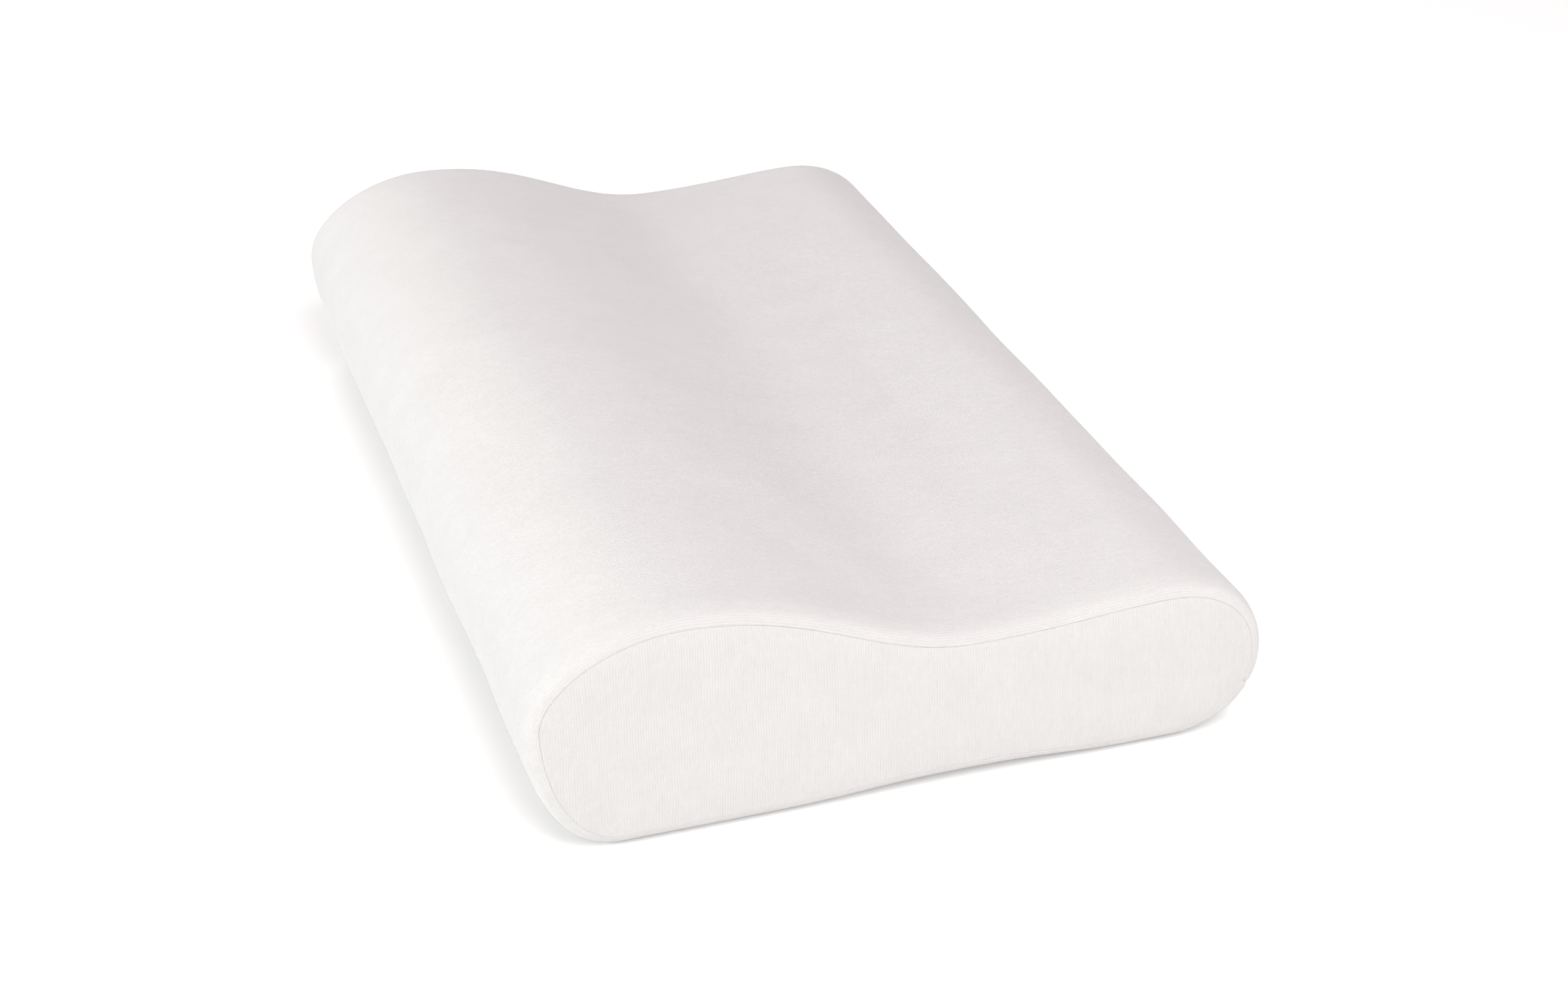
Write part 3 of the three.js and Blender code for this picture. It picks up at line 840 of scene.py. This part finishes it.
def make_slider():
    """The slider's shield-shaped plates, side flanges, inner web and bridge."""
    matrix = zip_matrix(FLIP["pos_m"][0])
    shield = rounded_outline(mirrored([(-4.5, 2.6), (-2.3, 3.5), (3.0, 3.0), (4.5, 2.2)]),
                             1.3 * MM)
    web = rounded_outline(mirrored([(-4.5, 0.2), (-0.5, 0.2)]), 0.18 * MM, steps=3)
    parts = [
        lofted_plate(shield, -0.1 * MM, 0.7 * MM, 0.3 * MM, matrix),
        lofted_plate(shield * np.array([1, 0.8]), -3.75 * MM, -3.15 * MM, 0.22 * MM, matrix),
        lofted_plate(web, -3.3 * MM, 0.1 * MM, 0.05 * MM, matrix),
        bridge_body(matrix),
    ]
    flange = [(-2.7, 2.86), (2.3, 2.86), (2.3, 3.08), (-2.7, 3.42)]
    for sign in (-1, 1):
        corners = [(x * MM, sign * y * MM) for x, y in flange][::sign]
        wall = rounded_outline(corners, 0.2 * MM, steps=3)
        parts.append(lofted_plate(wall, -1.8 * MM, 0.1 * MM, 0.1 * MM, matrix))
    new_piece("zip_slider", "body", "zip_metal", *joined(parts), body="slider")


def bridge_body(matrix):
    """The arch over the crossbar: a flat strip bent into a bridge."""
    angle = math.pi * (1 - np.linspace(0, 1, 25))
    x = 2.75 * MM * np.sign(np.cos(angle)) * np.abs(np.cos(angle)) ** 0.6
    z = 0.5 * MM + 2.1 * MM * np.sin(angle) ** 0.55
    path = moved(matrix, np.column_stack([x, np.zeros(len(x)), z]))
    return tube(path, 0.42 * MM, sides=10, squeeze=(1.85, 0.95), up=ZIP_UP.cross(ZIP_OUT))


def make_pull():
    """The pull: a flat tab with a window round the bridge, a waist and a holed, round tip."""
    matrix = Matrix.Translation(Vector(FLIP["pos_m"])) @ zip_matrix().to_3x3().to_4x4()
    tab = mirrored([(-0.3, 2.3), (0.4, 2.8), (4.6, 2.8), (6.6, 1.7), (10.5, 1.6), (14.5, 2.3),
                    (18.5, 2.8), (21.5, 2.75), (23.4, 1.9), (24.0, 0)])
    holes = [
        rounded_outline(mirrored([(0.5, 1.7), (4.85, 1.7)]), 0.5 * MM, steps=4),
        rounded_outline(mirrored([(16.8, 1.2), (20.8, 1.2)]), 1.4 * MM),
    ]
    plate = holed_plate(rounded_outline(tab, 0.9 * MM, steps=4), holes, 0.22 * MM, matrix)
    new_piece("zip_pull", "tab", "zip_metal", *plate, body="pull")


def holed_plate(outline, holes, bevel, matrix):
    """A flat plate with holes and rounded edges, made from its outline by bmesh."""
    work = bmesh.new()
    edges = []
    for ring in [outline, *holes]:
        corners = [work.verts.new((x, y, -PULL_HALF)) for x, y in ring]
        edges += [work.edges.new((corners[i - 1], corners[i])) for i in range(len(corners))]
    bmesh.ops.triangle_fill(work, edges=edges, use_beauty=True)
    made = bmesh.ops.extrude_face_region(work, geom=list(work.faces))
    raised = [item for item in made["geom"] if isinstance(item, bmesh.types.BMVert)]
    bmesh.ops.translate(work, verts=raised, vec=(0, 0, 2 * PULL_HALF))
    bmesh.ops.recalc_face_normals(work, faces=list(work.faces))
    sharp = [edge for edge in work.edges if edge.calc_face_angle(0) > math.radians(50)]
    rims = [edge for edge in sharp if abs(edge.verts[0].co.z - edge.verts[1].co.z) < 1e-7]
    bmesh.ops.bevel(work, geom=rims, offset=bevel, segments=3, profile=0.5, affect="EDGES")
    bmesh.ops.recalc_face_normals(work, faces=list(work.faces))
    work.verts.index_update()
    points = moved(matrix, [vertex.co for vertex in work.verts])
    faces = [tuple(vertex.index for vertex in face.verts) for face in work.faces]
    work.free()
    return points, faces


def make_stops():
    """Moulded stops: two at the closed end, one across both rows at the other."""
    stops = (
        # node, middle and half width across the zip, in mm
        ("zip_top_stop_upper", -1.575, 1.02),
        ("zip_top_stop_lower", 1.575, 1.02),
        ("zip_bottom_stop", 0, 2.6),
    )
    for node, middle, half in stops:
        low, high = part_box(node)
        near, far = (middle - half) * MM, (middle + half) * MM
        corners = [(low[0], near), (high[0], near), (high[0], far), (low[0], far)]
        clip = lofted_plate(rounded_outline(corners, 0.5 * MM), -1.8 * MM, -0.5 * MM, 0.3 * MM,
                            zip_matrix())
        new_piece(node, "clip", "zip_nylon", *clip)


# ---- care label

LABEL_THICKNESS = 0.22 * MM
LABEL_GAPS = (0.95 * MM, 0.45 * MM)  # from the cover to the outer and to the inner half
LABEL_STAND = 4.6 * MM


def label_half(gap, centre_z, length):
    """Half of the ribbon in (X, Z): over the rounded edge, then down, standing off the panel."""
    reach = EDGE_RADIUS + gap
    over = [(EDGE_RADIUS - HALF_LENGTH - reach * math.sin(a), centre_z + reach * math.cos(a))
            for a in np.radians(np.linspace(61, 90, 8))]
    down = [(-HALF_LENGTH - gap - LABEL_STAND * smooth_step(t / 0.7), centre_z - length * t)
            for t in np.linspace(0, 1, 16)[1:]]
    return over + down


def make_label():
    """A ribbon folded in half, sewn into the left end seam, hanging over the end panel."""
    low, high = (Vector(corner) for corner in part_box("care_label"))
    columns = 15
    around = nearest_around((low.y + high.y) / 2, LOW_LOBE_TOP)
    centre_z = outline_at(around)[0][1] - EDGE_RADIUS
    outer, inner = (label_half(gap, centre_z, high.z - low.z - 7 * MM) for gap in LABEL_GAPS)
    fold_x, fold_z = (outer[-1][0] + inner[-1][0]) / 2, outer[-1][1]
    fold = [(fold_x - 0.25 * MM * math.cos(a), fold_z - 0.45 * MM * math.sin(a))
            for a in np.linspace(0, math.pi, 7)[1:-1]]
    path = np.array(outer + fold + inner[::-1])
    along = unit(np.gradient(path, axis=0))
    normal = np.stack([along[:, 1], -along[:, 0]], axis=1)
    length = distances(path)
    lift = 1 - np.abs(2 * length / length[-1] - 1)
    points, uv = [], []
    for sign in (1, -1):
        x, z = (path + normal * sign * LABEL_THICKNESS / 2).T
        for share in np.linspace(0, 1, columns):
            y = np.full(len(path), low.y + share * (high.y - low.y))
            curl = 0.5 * MM * math.sin(math.pi * share * 1.3 + 0.4)
            points.append(np.column_stack([x - curl * lift, y, z]))
            uv.append(np.column_stack([y, length]))
    label = new_piece("care_label", "ribbon", "label_satin", np.vstack(points),
                      shell(columns, len(path), False), np.vstack(uv))


# ---- materials


class Nodes:
    """A short way to build a material's node tree. Its patterns lie in the space of place."""

    def __init__(self, name, cloth=False):
        self.material = bpy.data.materials.new(name)
        self.material.use_nodes = True
        self.tree = self.material.node_tree
        self.shader = self.tree.nodes["Principled BSDF"]
        if cloth:
            self.place = self.add("ShaderNodeUVMap", uv_map=CLOTH_MAP, out="UV")
        else:
            self.place = self.add("ShaderNodeTexCoord", out="Object")

    def put(self, socket, value):
        if isinstance(value, bpy.types.NodeSocket):
            self.tree.links.new(value, socket)
        else:
            socket.default_value = value

    def add(self, kind, inputs=(), out=0, **settings):
        node = self.tree.nodes.new(kind)
        for name, value in settings.items():
            setattr(node, name, value)
        for name, value in dict(inputs).items():
            self.put(node.inputs[name], value)
        return node.outputs[out]

    def math(self, operation, a, b=0.0, c=0.0):
        return self.add("ShaderNodeMath", {0: a, 1: b, 2: c}, operation=operation)

    def vector(self, operation, inputs):
        return self.add("ShaderNodeVectorMath", inputs, operation=operation)

    def axes(self, vector):
        split = self.tree.nodes.new("ShaderNodeSeparateXYZ")
        self.put(split.inputs[0], vector)
        return split.outputs

    def noise(self, scale, detail=3.0, roughness=0.55, stretch=(1, 1, 1), place=None):
        spot = self.add("ShaderNodeMapping", {"Vector": place or self.place, "Scale": stretch})
        return self.add("ShaderNodeTexNoise", {
            "Vector": spot, "Scale": scale, "Detail": detail, "Roughness": roughness})

    def mix(self, share, a, b):
        return self.add("ShaderNodeMix", {"Factor": share, "A": a, "B": b}, out="Result",
                        data_type="RGBA")

    def between(self, share, low, high, dark, light):
        """A colour from dark to light as share goes from low to high."""
        level = self.add("ShaderNodeMapRange", {"Value": share, "From Min": low, "From Max": high})
        return self.mix(level, (*dark, 1), (*light, 1))

    def bump(self, height, strength, distance, normal=None):
        inputs = {"Height": height, "Strength": strength, "Distance": distance}
        if normal is not None:
            inputs["Normal"] = normal
        return self.add("ShaderNodeBump", inputs)

    def finish(self, color, roughness, normal, **uniform):
        self.put(self.shader.inputs["Base Color"], color)
        self.put(self.shader.inputs["Roughness"], roughness)
        self.put(self.shader.inputs["Normal"], normal)
        for name, value in uniform.items():
            self.shader.inputs[name.replace("_", " ")].default_value = value
        return self.material


def jersey(name, dark, light, wale, course, knit_depth, fuzz_depth, sheen):
    """Knitted cloth. Its wales run up the map's second axis; wale and course are in metres."""
    nodes = Nodes(name, cloth=True)
    drift = nodes.add("ShaderNodeTexNoise", {"Vector": nodes.place, "Scale": 30.0, "Detail": 2.0},
                      out="Color")
    wander = nodes.vector("SUBTRACT", {0: drift, 1: (0.5, 0.5, 0.5)})
    wander = nodes.vector("SCALE", {0: wander, "Scale": 2.2 * wale})
    spot = nodes.vector("ADD", {0: nodes.place, 1: wander})
    axes = nodes.axes(spot)
    across = nodes.math("DIVIDE", axes["X"], wale)
    along = nodes.math("DIVIDE", axes["Y"], course)
    fold = nodes.math("MULTIPLY", nodes.math("PINGPONG", across, 0.5), 2.0)
    phase = nodes.math("MULTIPLY_ADD", fold, 0.9, along)
    leg = nodes.math("SINE", nodes.math("MULTIPLY", phase, TURN))
    valley = nodes.math("POWER", fold, 3.0)
    loops = nodes.math("MULTIPLY_ADD", leg, 0.28, nodes.math("SUBTRACT", 0.7, valley))
    fuzz = nodes.noise(1300.0, 5.0, 0.65, (1, 0.55, 1), spot)
    pile = nodes.noise(420.0, 3.0, 0.6, (1, 0.35, 1), spot)
    cloud = nodes.noise(55.0, stretch=(1, 0.6, 1))
    shade = nodes.math("MULTIPLY_ADD", fuzz, 0.45, nodes.math("MULTIPLY", pile, 0.3))
    shade = nodes.math("MULTIPLY_ADD", cloud, 0.25, shade)
    tint = nodes.between(shade, 0.3, 0.7, dark, light)
    # painted shade: the colour is mixed towards a darker tone in the grooves between the wales
    # (valley), where the knit's own shade falls
    under = nodes.math("MULTIPLY", valley, 0.35)
    shadowed = nodes.mix(under, tint, (*[0.93 * c for c in dark], 1))
    knit = nodes.bump(loops, 0.6, knit_depth)
    normal = nodes.bump(nodes.math("MULTIPLY_ADD", pile, 0.8, fuzz), 0.7, fuzz_depth, knit)
    rough = nodes.math("MULTIPLY_ADD", fuzz, 0.12, 0.84)
    return nodes.finish(shadowed, rough, normal, Sheen_Weight=sheen, Sheen_Roughness=0.5,
                        Specular_IOR_Level=0.12)


def thread_material(name, dark, light):
    """Spun sewing thread: fine plies along the object and a soft shine."""
    nodes = Nodes(name)
    plies = nodes.add("ShaderNodeTexWave", {
        "Vector": nodes.place, "Scale": 900.0, "Distortion": 2.0, "Detail": 2.0}, out="Fac",
        bands_direction="DIAGONAL")
    fuzz = nodes.noise(2500.0)
    tint = nodes.between(nodes.math("MULTIPLY_ADD", plies, 0.6, fuzz), 0.3, 1.2, dark, light)
    normal = nodes.bump(nodes.math("ADD", plies, fuzz), 0.6, 0.06 * MM)
    return nodes.finish(tint, nodes.math("MULTIPLY_ADD", fuzz, 0.2, 0.5), normal,
                        Sheen_Weight=0.15, Sheen_Roughness=0.4)


def foam_material(name):
    """Open-cell foam: fine round pores in a cream skin."""
    nodes = Nodes(name)
    pores, cells = (
        nodes.add("ShaderNodeTexVoronoi", {"Vector": nodes.place, "Scale": scale}, out="Distance")
        for scale in (1100.0, 350.0)
    )
    cloud = nodes.noise(28.0, 4.0)
    level = nodes.math("MULTIPLY_ADD", pores, 0.5, nodes.math("MULTIPLY_ADD", cells, 0.3, cloud))
    tint = nodes.between(level, 0.35, 1.0, (0.72, 0.62, 0.44), (0.87, 0.8, 0.64))
    normal = nodes.bump(nodes.math("ADD", pores, cells), 0.8, 0.3 * MM)
    return nodes.finish(tint, 0.95, normal, Sheen_Weight=0.1)


def tape_material(name):
    """Woven zip tape: a fine herringbone in the object's own axes."""
    nodes = Nodes(name)
    axes = nodes.axes(nodes.place)
    rise = nodes.math("DIVIDE", axes["Z"], 1.1 * MM)
    run = nodes.math("DIVIDE", axes["X"], 0.6 * MM)
    zigzag = nodes.math("MULTIPLY", nodes.math("PINGPONG", rise, 0.5), 2.0)
    yarns = nodes.math("SINE", nodes.math("MULTIPLY", nodes.math("ADD", zigzag, run), TURN))
    level = nodes.math("MULTIPLY_ADD", yarns, 0.25, nodes.noise(1800.0))
    tint = nodes.between(level, 0.2, 0.8, (0.66, 0.65, 0.635), (0.8, 0.795, 0.78))
    return nodes.finish(tint, 0.85, nodes.bump(level, 0.6, 0.12 * MM), Sheen_Weight=0.1)


def nylon_material(name):
    """Moulded nylon: even, a little translucent, with a fine satin skin."""
    nodes = Nodes(name)
    fine = nodes.noise(2200.0, 2.0)
    tint = nodes.between(nodes.noise(160.0), 0.3, 0.7, (0.76, 0.755, 0.74), (0.83, 0.825, 0.81))
    rough = nodes.math("MULTIPLY_ADD", fine, 0.18, 0.3)
    return nodes.finish(tint, rough, nodes.bump(fine, 0.25, 0.04 * MM), Subsurface_Weight=0.08,
                        Subsurface_Scale=0.6 * MM)


def metal_material(name):
    """Satin-plated zinc: brushed along the zip, with faint handling marks."""
    nodes = Nodes(name)
    brushed = nodes.noise(3000.0, 3.0, 0.5, (0.08, 1, 1))
    marks = nodes.noise(500.0, 4.0, 0.6)
    tint = nodes.between(marks, 0.35, 0.7, (0.62, 0.62, 0.63), (0.74, 0.74, 0.75))
    rough = nodes.math("MULTIPLY_ADD", brushed, 0.2, nodes.math("MULTIPLY_ADD", marks, 0.12, 0.14))
    return nodes.finish(tint, rough, nodes.bump(brushed, 0.2, 0.03 * MM), Metallic=1.0)


def satin_material(name):
    """Woven satin ribbon: long floats along it and fine wefts across."""
    nodes = Nodes(name, cloth=True)
    floats = nodes.noise(5200.0, 2.0, 0.5, (1, 0.05, 1))
    weft = nodes.add("ShaderNodeTexWave", {
        "Vector": nodes.place, "Scale": 700.0, "Distortion": 0.4}, out="Fac", bands_direction="Y")
    cloud = nodes.math("MULTIPLY", nodes.noise(90.0), 0.4)
    level = nodes.math("MULTIPLY_ADD", floats, 0.6, cloud)
    tint = nodes.between(level, 0.3, 0.7, (0.8, 0.795, 0.785), (0.88, 0.875, 0.865))
    normal = nodes.bump(nodes.math("MULTIPLY_ADD", weft, 0.4, floats), 0.35, 0.08 * MM)
    rough = nodes.math("MULTIPLY_ADD", floats, 0.2, 0.32)
    return nodes.finish(tint, rough, normal, Sheen_Weight=0.2, Sheen_Roughness=0.3)


MATERIALS = {
    "cover_knit": jersey("cover_knit_velour", (0.655, 0.642, 0.638), (0.74, 0.73, 0.725),
                         1.05 * MM, 0.8 * MM, 0.16 * MM, 0.26 * MM, 0.18),
    "liner_knit": jersey("liner_knit_jersey", (0.7, 0.69, 0.67), (0.8, 0.79, 0.77),
                         1.6 * MM, 1.2 * MM, 0.4 * MM, 0.1 * MM, 0.05),
    "seam_thread": thread_material("seam_thread_spun", (0.62, 0.61, 0.6), (0.76, 0.75, 0.74)),
    "foam": foam_material("foam_open_cell"),
    "zip_tape": tape_material("zip_tape_weave"),
    "zip_nylon": nylon_material("zip_nylon_moulded"),
    "zip_metal": metal_material("zip_metal_satin"),
    "label_satin": satin_material("label_satin_ribbon"),
}


# ---- camera, light and floor

CAMERA_AT = (1.13224, -0.31248, 0.61207)
CAMERA_YAW, CAMERA_PITCH, CAMERA_ROLL = 0.2914, 0.4731, -0.028
CAMERA_LENS = 65.85
DOME_COLOUR, DOME_STRENGTH, FLOOR_GLOW = (1.0, 0.95, 0.955), 0.25, 0.15
FLOOR_HALF = 6
LIGHTS_FACE = Vector((0, 0, 0.04))
SOFTBOXES = [
    # name, direction from the pillow, distance, size, power, colour
    ("front", (0.7, 0.1, 0.7), 2.3, 1.2, 40.0, (1.0, 0.99, 0.98)),
    ("side", (0.0, -1.0, 0.18), 2.0, 1.0, 25.5, (0.95, 1.0, 0.975)),
    ("back", (-0.9, 0.0, 0.6), 2.3, 1.6, 14.5, (1.0, 0.975, 0.965)),
    ("top", (0.0, 0.0, 1.0), 2.3, 2.0, 14.0, (1.0, 0.91, 0.93)),
]


def make_camera():
    """Looks from beyond the right end, a little to the tall lobe's side, from above."""
    flat = math.cos(CAMERA_PITCH)
    ahead = Vector((-flat * math.cos(CAMERA_YAW), flat * math.sin(CAMERA_YAW),
                    -math.sin(CAMERA_PITCH)))
    level = ahead.cross(Vector((0, 0, 1))).normalized()
    upright = level.cross(ahead)
    right = level * math.cos(CAMERA_ROLL) + upright * math.sin(CAMERA_ROLL)
    up = upright * math.cos(CAMERA_ROLL) - level * math.sin(CAMERA_ROLL)
    data = bpy.data.cameras.new("camera")
    data.lens, data.sensor_width = CAMERA_LENS, 36
    data.clip_start, data.clip_end = 0.05, 50
    camera = in_scene(bpy.data.objects.new("camera", data))
    matrix = Matrix([[right[i], up[i], -ahead[i]] for i in range(3)]).to_4x4()
    matrix.translation = Vector(CAMERA_AT)
    camera.matrix_world = matrix
    bpy.context.scene.camera = camera


def softbox(name, direction, distance, size, power, colour):
    """A square area light that faces the pillow."""
    data = bpy.data.lights.new(name, "AREA")
    data.shape, data.size, data.energy, data.color = "SQUARE", size, power, colour
    light = in_scene(bpy.data.objects.new(name, data))
    away = Vector(direction).normalized()
    light.location = LIGHTS_FACE + distance * away
    light.rotation_mode = "QUATERNION"
    light.rotation_quaternion = (-away).to_track_quat("-Z", "Y")


def make_light():
    world = bpy.data.worlds.new("studio")
    world.use_nodes = True
    background = world.node_tree.nodes["Background"]
    background.inputs["Color"].default_value = (*DOME_COLOUR, 1)
    background.inputs["Strength"].default_value = DOME_STRENGTH
    bpy.context.scene.world = world
    for settings in SOFTBOXES:
        softbox(*settings)
    bpy.context.scene.view_settings.view_transform = "Standard"


def make_floor():
    corners = [(-1, -1), (1, -1), (1, 1), (-1, 1)]
    mesh = bpy.data.meshes.new("floor")
    mesh.from_pydata([(x * FLOOR_HALF, y * FLOOR_HALF, 0) for x, y in corners], [],
                     [(0, 1, 2, 3)])
    nodes = Nodes("floor_paper")
    cloud = nodes.noise(6.0)
    tint = nodes.between(cloud, 0.3, 0.7, (0.93, 0.93, 0.93), (0.94, 0.94, 0.94))
    paper = nodes.finish(tint, 0.9, nodes.bump(cloud, 0.05, 0.1 * MM),
                         Emission_Color=(1, 1, 1, 1), Emission_Strength=FLOOR_GLOW)
    mesh.materials.append(paper)
    in_scene(bpy.data.objects.new("floor", mesh))


# ---- build

make_camera()
make_light()
make_floor()
inner_around = np.arange(150) * AROUND / 150
make_foam(inner_around)
make_liner(inner_around)
make_wrap()
for name, side in ENDS:
    make_cover_end(name, side)
for name, side in ENDS:
    make_end_seam(name, side)
make_tapes()
make_stitch_rows()
make_bar_tacks()
make_teeth()
make_stops()
make_slider()
make_pull()
make_label()
